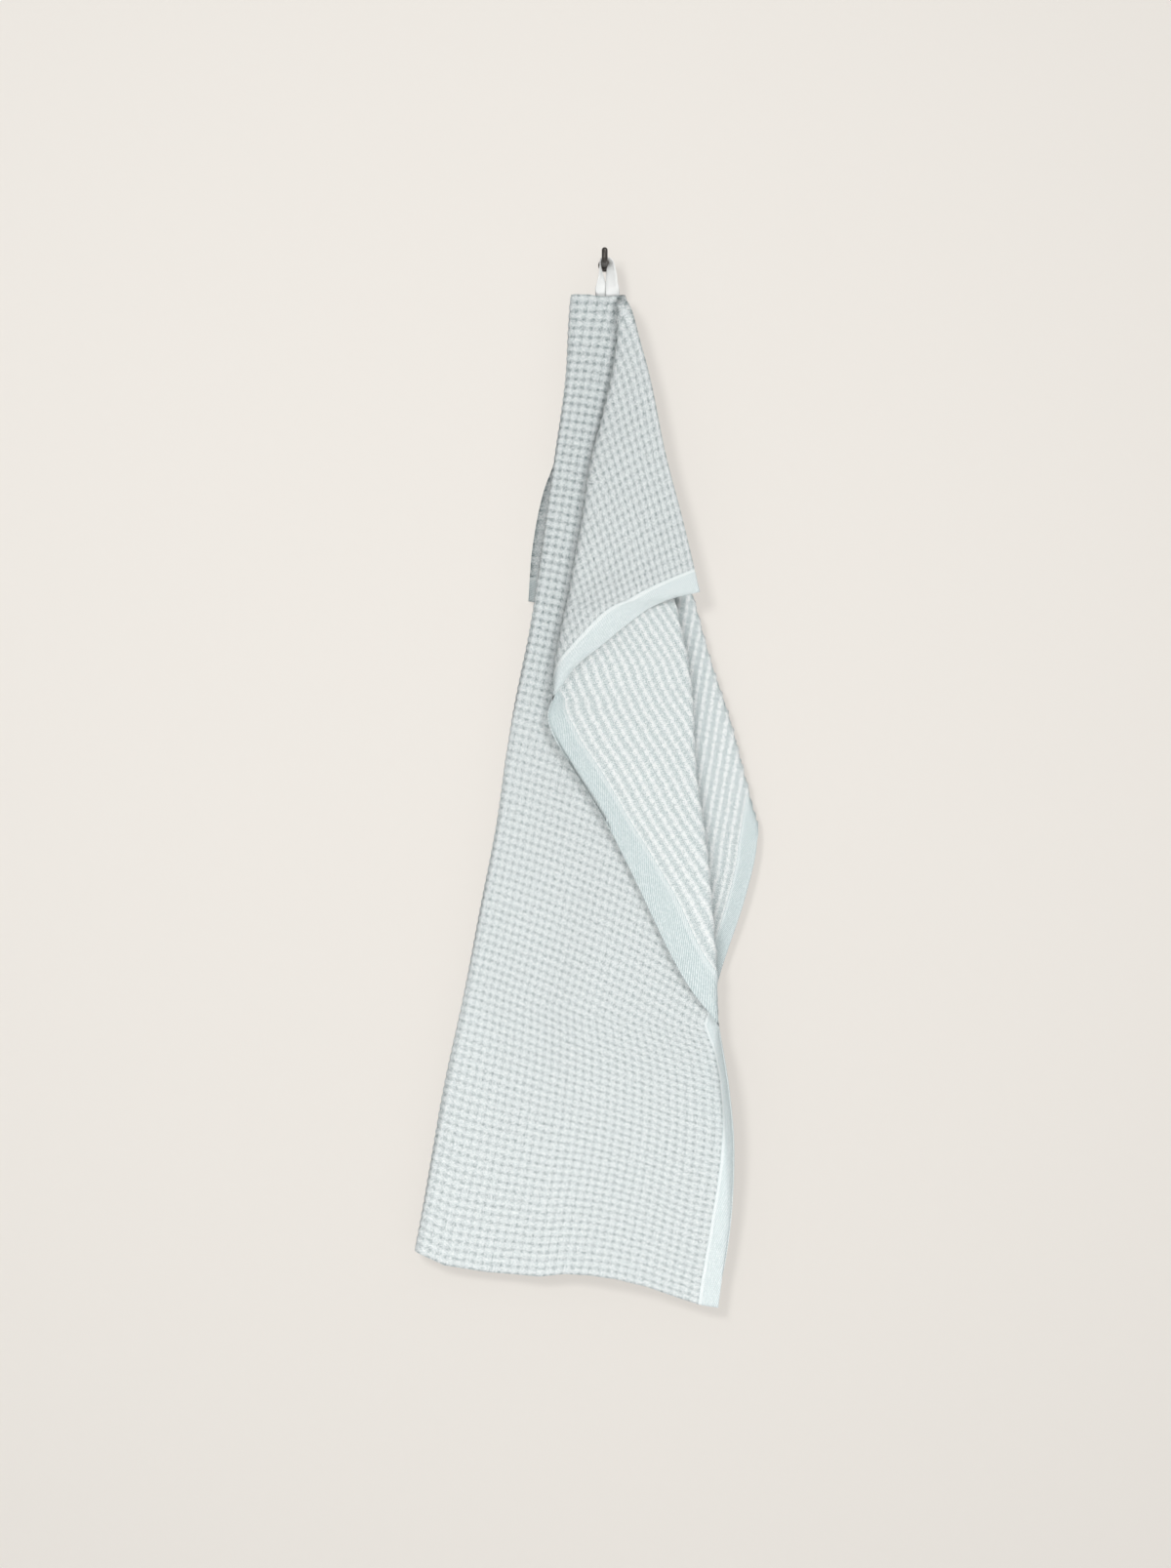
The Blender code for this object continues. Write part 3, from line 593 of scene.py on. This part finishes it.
def unevenness(across, down):
    """Soft unevenness of the hanging cloth, in millimetres."""
    swells = sum(depth * cloth_wave(across, down, wave) for depth, wave in SWELLS)
    creases = cloth_wave(across, down, CREASE_WAVE) * cloth_wave(across, down, CREASE_ENDS_WAVE)
    return (swells + CREASE_DEPTH * creases) * ease(down / UNEVEN_FULL)


def grid_faces(columns, rows, offset, flip):
    """Faces of a grid of points, turned over if asked."""
    faces = []
    for row in range(rows - 1):
        start = offset + row * columns
        for column in range(columns - 1):
            corner = start + column
            face = (corner, corner + 1, corner + columns + 1, corner + columns)
            faces.append(face[::-1] if flip else face)
    return faces


def rim_faces(columns, rows, offset):
    """Narrow faces that join the two skins all round."""
    rim = list(range(columns))
    rim += [columns - 1 + row * columns for row in range(1, rows)]
    rim += [columns * rows - 1 - step for step in range(1, columns)]
    rim += [columns * (rows - 1 - step) for step in range(1, rows - 1)]
    faces = []
    for start, end in zip(rim, rim[1:] + rim[:1]):
        faces.append((end, start, start + offset, end + offset))
    return faces


def add_piece(name, points, faces, coordinates, materials, indices=None):
    """A smooth mesh piece with one texture coordinate for each point."""
    mesh = bpy.data.meshes.new(name)
    mesh.from_pydata([tuple(point) for point in points], [], faces)
    layer = mesh.uv_layers.new(name="cloth")
    corners = np.empty(len(mesh.loops), int)
    mesh.loops.foreach_get("vertex_index", corners)
    layer.data.foreach_set("uv", np.asarray(coordinates, float)[corners].ravel())
    for material in materials:
        mesh.materials.append(material)
    if indices is not None:
        mesh.polygons.foreach_set("material_index", indices)
    mesh.shade_smooth()
    piece = bpy.data.objects.new(name, mesh)
    bpy.context.scene.collection.objects.link(piece)
    return piece


def make_towel(materials):
    """The towel: a front and a back skin over the folded cloth, joined at the rim."""
    across_lines, down_lines = flat_lines()
    across, down = np.meshgrid(across_lines, down_lines)
    middle = place(across, down)
    along_row = np.gradient(middle, axis=1) / np.gradient(across, axis=1)[..., None]
    along_column = np.gradient(middle, axis=0) / np.gradient(down, axis=0)[..., None]
    normal = np.cross(along_column, along_row)
    normal /= np.linalg.norm(normal, axis=-1, keepdims=True)
    front, back = weave_relief(across, down)
    middle = middle + normal * unevenness(across, down)[..., None]
    front_points = middle + normal * front[..., None]
    back_points = middle - normal * back[..., None]
    rows, columns = across.shape
    count = rows * columns
    points = np.vstack([front_points.reshape(-1, 3), back_points.reshape(-1, 3)]) * MM
    faces = grid_faces(columns, rows, 0, True) + grid_faces(columns, rows, count, False)
    skin = len(faces) // 2
    rim = rim_faces(columns, rows, count)
    indices = [0] * skin + [1] * skin + [0] * len(rim)
    flat = np.stack([across / (2 * TOWEL_HALF_WIDTH) + 0.5, 1 - down / TOWEL_LENGTH], axis=-1).reshape(-1, 2)
    return add_piece("waffle_towel", points, faces + rim, np.vstack([flat, flat]), materials, indices)


def tape_route(count):
    """Middle of the tape (across, out, up) with the quarter turns of its width: 0 lies along X, 1 along Y."""
    arc_radius = BAR_RADIUS + LOOP_CLEARANCE + TAPE_THICKNESS / 2
    arc = []
    for step in range(ARC_STEPS + 1):
        angle = math.pi * step / ARC_STEPS
        turn = min(ARC_TURN_STARTS + ARC_TURN_STEP * step, 1.0)
        radius = arc_radius + TAPE_WIDTH / 2 * math.cos(turn * math.pi / 2)
        arc.append((radius * math.cos(angle), LOOP_DEPTH, radius * math.sin(angle), turn))
    return smooth_route(RIGHT_LEG + arc + LEFT_LEG, count)


def make_loop(material):
    """The tape: a flat ribbon with soft edges, swept along its route."""
    route = tape_route(TAPE_RINGS)
    run = np.concatenate([[0.0], np.cumsum(np.linalg.norm(np.diff(route[:, :3], axis=0), axis=1))])
    section = []
    for step in range(TAPE_STEPS + 1):
        share = 2 * step / TAPE_STEPS - 1
        section.append((share, math.sqrt(max(0.0, 1 - abs(share) ** TAPE_EDGE_POWER)) * 0.5))
    section = section + [(share, -half) for share, half in section[-2:0:-1]]
    points, coordinates = [], []
    for index, (x, out, up, turn) in enumerate(route):
        ahead = route[min(index + 1, len(route) - 1)]
        behind = route[max(index - 1, 0)]
        direction = Vector((ahead[0] - behind[0], behind[1] - ahead[1], ahead[2] - behind[2])).normalized()
        angle = turn * math.pi / 2
        wide = Vector((math.cos(angle), -math.sin(angle), 0.0))
        wide = (wide - direction * wide.dot(direction)).normalized()
        thick = direction.cross(wide)
        centre = Vector((x, -out, up))
        for share, half in section:
            offset = wide * share * TAPE_WIDTH / 2 + thick * half * TAPE_THICKNESS
            points.append((centre + offset) * MM)
            coordinates.append((share * 0.5 + 0.5, run[index] / run[-1]))
    sides = len(section)
    faces = [tuple(range(sides)), tuple(reversed(range(len(points) - sides, len(points))))]
    for ring in range(len(route) - 1):
        start = ring * sides
        for side in range(sides):
            after = (side + 1) % sides
            faces.append((start + side, start + side + sides, start + after + sides, start + after))
    return add_piece("tape_loop", points, faces, coordinates, [material]), run[-1] * MM


class Shader:
    """A material's nodes, built up by short calls."""

    def __init__(self, name, roughness):
        self.material = bpy.data.materials.new(name)
        self.material.use_nodes = True
        self.tree = self.material.node_tree
        self.surface = self.tree.nodes["Principled BSDF"]
        self.surface.inputs["Roughness"].default_value = roughness

    def add(self, kind, inputs=(), **settings):
        """A node with its settings. Each input is a number, a colour or another node's socket."""
        made = self.tree.nodes.new("ShaderNode" + kind)
        for key, value in settings.items():
            setattr(made, key, value)
        for key, value in dict(inputs).items():
            if isinstance(value, bpy.types.NodeSocket):
                self.tree.links.new(value, made.inputs[key])
            else:
                made.inputs[key].default_value = value
        return made

    def math(self, operation, first, second=0.0, third=0.0):
        """The result of a sum on numbers or sockets."""
        return self.add("Math", {0: first, 1: second, 2: third}, operation=operation).outputs[0]

    def mix(self, share, first, second):
        """The first colour, turning into the second as the share grows."""
        made = self.add("Mix", {"Factor": share}, data_type="RGBA")
        for socket, value in ((made.inputs[6], first), (made.inputs[7], second)):
            if isinstance(value, bpy.types.NodeSocket):
                self.tree.links.new(value, socket)
            else:
                socket.default_value = (*value, 1.0)
        return made.outputs[2]

    def noise(self, vector, scale, detail, roughness):
        """Soft noise, between 0 and 1."""
        inputs = {"Vector": vector, "Scale": scale, "Detail": detail, "Roughness": roughness}
        return self.add("TexNoise", inputs).outputs["Fac"]

    def paint(self, colour, height, strength, distance):
        """Gives the surface its colour and its fine relief."""
        self.tree.links.new(colour, self.surface.inputs["Base Color"])
        bump = self.add("Bump", {"Height": height, "Strength": strength, "Distance": distance})
        self.tree.links.new(bump.outputs[0], self.surface.inputs["Normal"])
        return self.material

    def flat_millimetres(self, width, length):
        """Texture coordinates of a sheet in millimetres: across, down, and both as one vector."""
        uv = self.add("UVMap", uv_map="cloth").outputs[0]
        parts = self.add("SeparateXYZ", {0: uv})
        across = self.math("MULTIPLY", parts.outputs[0], width)
        down = self.math("MULTIPLY", self.math("SUBTRACT", 1.0, parts.outputs[1]), length)
        return across, down, self.add("CombineXYZ", {0: across, 1: down}).outputs[0]

    def stretched(self, vector, along_x, along_y):
        """The same place, scaled along each side."""
        return self.add("Mapping", {"Vector": vector, "Scale": (along_x, along_y, 1.0)}).outputs[0]

    def fade(self, value, limits, before, after):
        """One amount below the first limit, another above the second, and a straight change between them."""
        return self.add("MapRange", {0: value, 1: limits[0], 2: limits[1], 3: before, 4: after}).outputs[0]

    def peaks(self, value, pitch, power):
        """One at each multiple of the pitch, none half-way, sharper with a higher power."""
        wave = self.math("COSINE", self.math("MULTIPLY", value, 2 * math.pi / pitch))
        return self.math("POWER", self.math("MULTIPLY_ADD", wave, 0.5, 0.5), power)


def waffle_surface(shader, face, place_on_cloth, flecks):
    """Colour and height of the waffle: painted shade between the cells, and slanted stripes of yarn in them.
    """
    across, down, flat = place_on_cloth
    drift = shader.noise(flat, WANDER_SCALE, detail=4.0, roughness=0.6)
    wander = shader.math("MULTIPLY_ADD", drift, 2 * WANDER, -WANDER)
    column = shader.math("ADD", shader.math("SUBTRACT", across, BAND_WIDTH), wander)
    row = shader.math("ADD", down, wander)
    columns = shader.peaks(column, CELL_WIDTH, GAP_POWER)
    rows = shader.peaks(row, CELL_LENGTH, GAP_POWER)
    # Painted shade in the gaps between the cells: darker along the rows and the columns, and where they cross
    gaps = shader.math("MULTIPLY", rows, face["row_share"])
    gaps = shader.math("MULTIPLY_ADD", columns, face["column_share"], gaps)
    gaps = shader.math("MULTIPLY_ADD", shader.math("MULTIPLY", columns, rows), face["dot_share"], gaps)
    # Painted shade: the gaps are darker still in the upper pleats left of the middle, and a little on the
    # flap
    painted_shade = shader.fade(across, PAINTED_SHADE_ACROSS, PAINTED_SHADE_PLEAT, PAINTED_SHADE_FLAP)
    painted_shade = shader.fade(down, PAINTED_SHADE_DOWN, painted_shade, 0.0)
    gaps = shader.math("MULTIPLY", gaps, shader.math("ADD", painted_shade, 1.0))
    gaps = shader.math("MULTIPLY", gaps, shader.math("MULTIPLY_ADD", flecks, GAP_FLECKS, GAP_BASE))
    zigzag = shader.math("PINGPONG", column, CELL_WIDTH / 4)
    stripes = shader.peaks(shader.math("MULTIPLY_ADD", zigzag, YARN_SLANT, row), YARN_PITCH, 1.0)
    yarns = shader.math("MULTIPLY_ADD", flecks, FLECK_SHARE, face["ribs"] * RIB_BASE + YARN_BASE)
    yarns = shader.math("MULTIPLY_ADD", stripes, STRIPE_SHARE, yarns)
    # Painted shade: on the back face the raised ribs are painted lighter than the hollows between them
    ribs = shader.math("MULTIPLY", shader.math("MULTIPLY_ADD", rows, RIB_DIPS, 1.0), columns)
    yarns = shader.math("SUBTRACT", yarns, shader.math("MULTIPLY", ribs, face["ribs"]))
    yarn = shader.mix(shader.math("MAXIMUM", yarns, 0.0), face["light"], face["fleck"])
    colour = shader.mix(shader.math("MAXIMUM", gaps, 0.0), yarn, face["dark"])
    height = shader.math("MULTIPLY", flecks, FLECK_DENT)
    height = shader.math("SUBTRACT", height, shader.math("MULTIPLY", gaps, GAP_DENT))
    height = shader.math("SUBTRACT", height, shader.math("MULTIPLY", stripes, STRIPE_DENT))
    return colour, height


def band_surface(shader, face, place_on_cloth, flecks, from_middle):
    """Colour and height of the plain bands: twill with long streaks, and a brighter line by the waffle."""
    across, down, flat = place_on_cloth
    twill = shader.peaks(shader.math("MULTIPLY_ADD", down, TWILL_SLANT, across), TWILL_PITCH, 1.0)
    streaks = shader.noise(shader.stretched(flat, *STREAK_GRAIN), 1.0, detail=3.0, roughness=0.7)
    shade = shader.math("MULTIPLY_ADD", streaks, STREAK_SHARE, BAND_SHADE)
    shade = shader.math("MULTIPLY_ADD", flecks, BAND_FLECKS, shade)
    shade = shader.math("MULTIPLY_ADD", twill, TWILL_SHARE, shade)
    colour = shader.mix(shade, face["light"], face["fleck"])
    line = shader.math("COMPARE", from_middle, TOWEL_HALF_WIDTH - LINE_FROM_SIDE, BAND_LINE_HALF)
    colour = shader.mix(shader.math("MULTIPLY", line, face["line_share"]), colour, LINE_COLOUR)
    return colour, shader.math("MULTIPLY", twill, TWILL_DENT)


def make_cloth(name, face):
    """Waffle cloth of white and blue-grey yarn, with plain twill on its bands."""
    shader = Shader(name, CLOTH_ROUGHNESS)
    place_on_cloth = shader.flat_millimetres(2 * TOWEL_HALF_WIDTH, TOWEL_LENGTH)
    across, _, flat = place_on_cloth
    flecks = shader.noise(shader.stretched(flat, *FLECK_GRAIN), 1.0, detail=4.0, roughness=0.85)
    flecks = shader.math("MULTIPLY_ADD", flecks, FLECK_CONTRAST, FLECK_START)
    from_middle = shader.math("ABSOLUTE", shader.math("SUBTRACT", across, TOWEL_HALF_WIDTH))
    in_waffle = shader.math("LESS_THAN", from_middle, TOWEL_HALF_WIDTH - BAND_WIDTH)
    waffle, waffle_height = waffle_surface(shader, face, place_on_cloth, flecks)
    band, band_height = band_surface(shader, face, place_on_cloth, flecks, from_middle)
    colour = shader.mix(in_waffle, band, waffle)
    heights = {0: in_waffle, 2: band_height, 3: waffle_height}
    height = shader.add("Mix", heights, data_type="FLOAT").outputs[0]
    return shader.paint(colour, height, CLOTH_BUMP, CLOTH_BUMP_DEPTH)


def make_tape_cloth():
    """White cotton tape with a herringbone weave."""
    shader = Shader("cotton_tape_weave", TAPE_ROUGHNESS)
    across, down, flat = shader.flat_millimetres(TAPE_WIDTH, TAPE_WEAVE_LENGTH)
    slanted = shader.math("ABSOLUTE", shader.math("SUBTRACT", across, TAPE_WIDTH / 2))
    weave = shader.peaks(shader.math("ADD", slanted, down), HERRINGBONE_PITCH, 1.0)
    flecks = shader.noise(flat, TAPE_FLECK_SCALE, detail=3.0, roughness=0.7)
    colour = shader.mix(shader.math("MULTIPLY", weave, TAPE_SHADE_SHARE), TAPE_LIGHT, TAPE_SHADE)
    colour = shader.mix(shader.math("MULTIPLY", flecks, TAPE_FLECK_SHARE), colour, TAPE_FLECK)
    return shader.paint(colour, shader.math("ADD", weave, flecks), TAPE_BUMP, TAPE_BUMP_DEPTH)


def make_hook_metal():
    """Dark satin metal with fine wear."""
    shader = Shader("hook_dark_metal", METAL_ROUGHNESS)
    shader.surface.inputs["Metallic"].default_value = METAL_SHARE
    place_in_metal = shader.add("TexCoord").outputs["Object"]
    grain = shader.noise(place_in_metal, METAL_GRAIN, detail=4.0, roughness=0.7)
    patches = shader.noise(place_in_metal, METAL_PATCHES, detail=3.0, roughness=0.6)
    colour = shader.mix(patches, METAL_DARK, METAL_LIGHT)
    return shader.paint(colour, grain, METAL_BUMP, METAL_BUMP_DEPTH)


def make_floor_paint():
    """The matt floor."""
    shader = Shader("floor_paint", FLOOR_ROUGHNESS)
    shader.surface.inputs["Base Color"].default_value = (*FLOOR_COLOUR, 1.0)
    shader.surface.inputs["Specular IOR Level"].default_value = 0.0
    return shader.material


def make_wall_paint():
    """A softly glowing wall, a little darker away from its middle, which can be seen through from behind."""
    shader = Shader("wall_paint", 1.0)
    shader.surface.inputs["Specular IOR Level"].default_value = 0.0
    shader.surface.inputs["Base Color"].default_value = (*WALL_COLOUR, 1.0)
    place_on_wall = shader.add("TexCoord").outputs["Object"]
    ends = {0: place_on_wall, 1: WALL_GLOW_CENTRE}
    offset = shader.add("VectorMath", ends, operation="SUBTRACT").outputs[0]
    away = shader.add("VectorMath", {0: offset}, operation="LENGTH").outputs["Value"]
    fall = shader.math("MULTIPLY", shader.math("POWER", away, 2.0), WALL_GLOW_FALL)
    glow = shader.mix(fall, WALL_GLOW, (0.0, 0.0, 0.0))
    shader.tree.links.new(glow, shader.surface.inputs["Emission Color"])
    shader.surface.inputs["Emission Strength"].default_value = 1.0
    clear = shader.add("BsdfTransparent").outputs[0]
    behind = shader.add("NewGeometry").outputs["Backfacing"]
    both = shader.add("MixShader", {0: behind, 1: shader.surface.outputs[0], 2: clear}).outputs[0]
    shader.tree.links.new(both, shader.tree.nodes["Material Output"].inputs["Surface"])
    return shader.material


def add_plane(name, corners, material):
    """A flat piece of the stage."""
    mesh = bpy.data.meshes.new(name)
    mesh.from_pydata(corners, [], [(0, 1, 2, 3)])
    mesh.materials.append(material)
    plane = bpy.data.objects.new(name, mesh)
    bpy.context.scene.collection.objects.link(plane)
    return plane


def make_stage():
    """The wall, which only the camera sees, and the floor."""
    wide, low, top = WALL_HALF_WIDTH, FLOOR_HEIGHT, WALL_TOP
    ends = [(-wide, low), (wide, low), (wide, top), (-wide, top)]
    wall = add_plane("wall_backdrop", [(x, WALL_BEHIND, z) for x, z in ends], make_wall_paint())
    wall.visible_diffuse = False
    wall.visible_glossy = False
    wall.visible_transmission = False
    wall.visible_shadow = False
    far = FLOOR_HALF_WIDTH
    ends = [(-far, -far), (far, -far), (far, far), (-far, far)]
    floor = add_plane("floor", [(x, y, FLOOR_HEIGHT) for x, y in ends], make_floor_paint())
    return wall, floor


def add_area_light(name, facts, lights_only):
    """A square soft light. It lights only the listed objects."""
    light = bpy.data.lights.new(name, "AREA")
    light.shape = "SQUARE"
    light.size = facts["size"]
    light.energy = facts["power"]
    light.color = facts["colour"]
    lamp = bpy.data.objects.new(name, light)
    lamp.location = facts["place"]
    lamp.rotation_euler = (Vector(facts["aim"]) - Vector(facts["place"])).to_track_quat("-Z", "Y").to_euler()
    bpy.context.scene.collection.objects.link(lamp)
    lit = bpy.data.collections.new(name + "_lights")
    for piece in lights_only:
        lit.objects.link(piece)
    lamp.light_linking.receiver_collection = lit


def make_lights(wall, others):
    """An even world, and soft lights for the wall and for the rest."""
    scene = bpy.context.scene
    scene.view_settings.view_transform = "Standard"
    world = bpy.data.worlds.new("studio")
    world.use_nodes = True
    background = world.node_tree.nodes["Background"]
    background.inputs["Color"].default_value = (*WORLD_COLOUR, 1.0)
    background.inputs["Strength"].default_value = WORLD_STRENGTH
    scene.world = world
    add_area_light("key_light", KEY_LIGHT, others)
    add_area_light("low_fill", LOW_FILL, others)
    add_area_light("wall_light", WALL_LIGHT, [wall])


def make_camera():
    """A level camera at the photo's angle."""
    camera = bpy.data.cameras.new("camera")
    camera.lens = LENS
    camera.sensor_fit = "VERTICAL"
    camera.sensor_height = SENSOR
    camera.clip_end = FAR_CLIP
    viewer = bpy.data.objects.new("camera", camera)
    viewer.location = (FRAME_X, FRAME_Y - FRAME_HEIGHT * LENS / SENSOR, FRAME_Z)
    viewer.rotation_euler = (math.pi / 2, 0.0, 0.0)
    bpy.context.scene.collection.objects.link(viewer)
    bpy.context.scene.camera = viewer


def main():
    towel = make_towel([make_cloth("waffle_front", FRONT_FACE), make_cloth("waffle_back", BACK_FACE)])
    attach(towel, "root")
    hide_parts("towel")
    loop, tape_length = make_loop(make_tape_cloth())
    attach(loop, "root")
    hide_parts("hanging_loop")
    metal = make_hook_metal()
    hook = [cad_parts[node] for node in ("hook_plate", "hook_bar")]
    for piece in hook:
        piece.material_slots[0].material = metal
    wall, floor = make_stage()
    make_lights(wall, [towel, loop, floor] + hook)
    make_camera()


main()
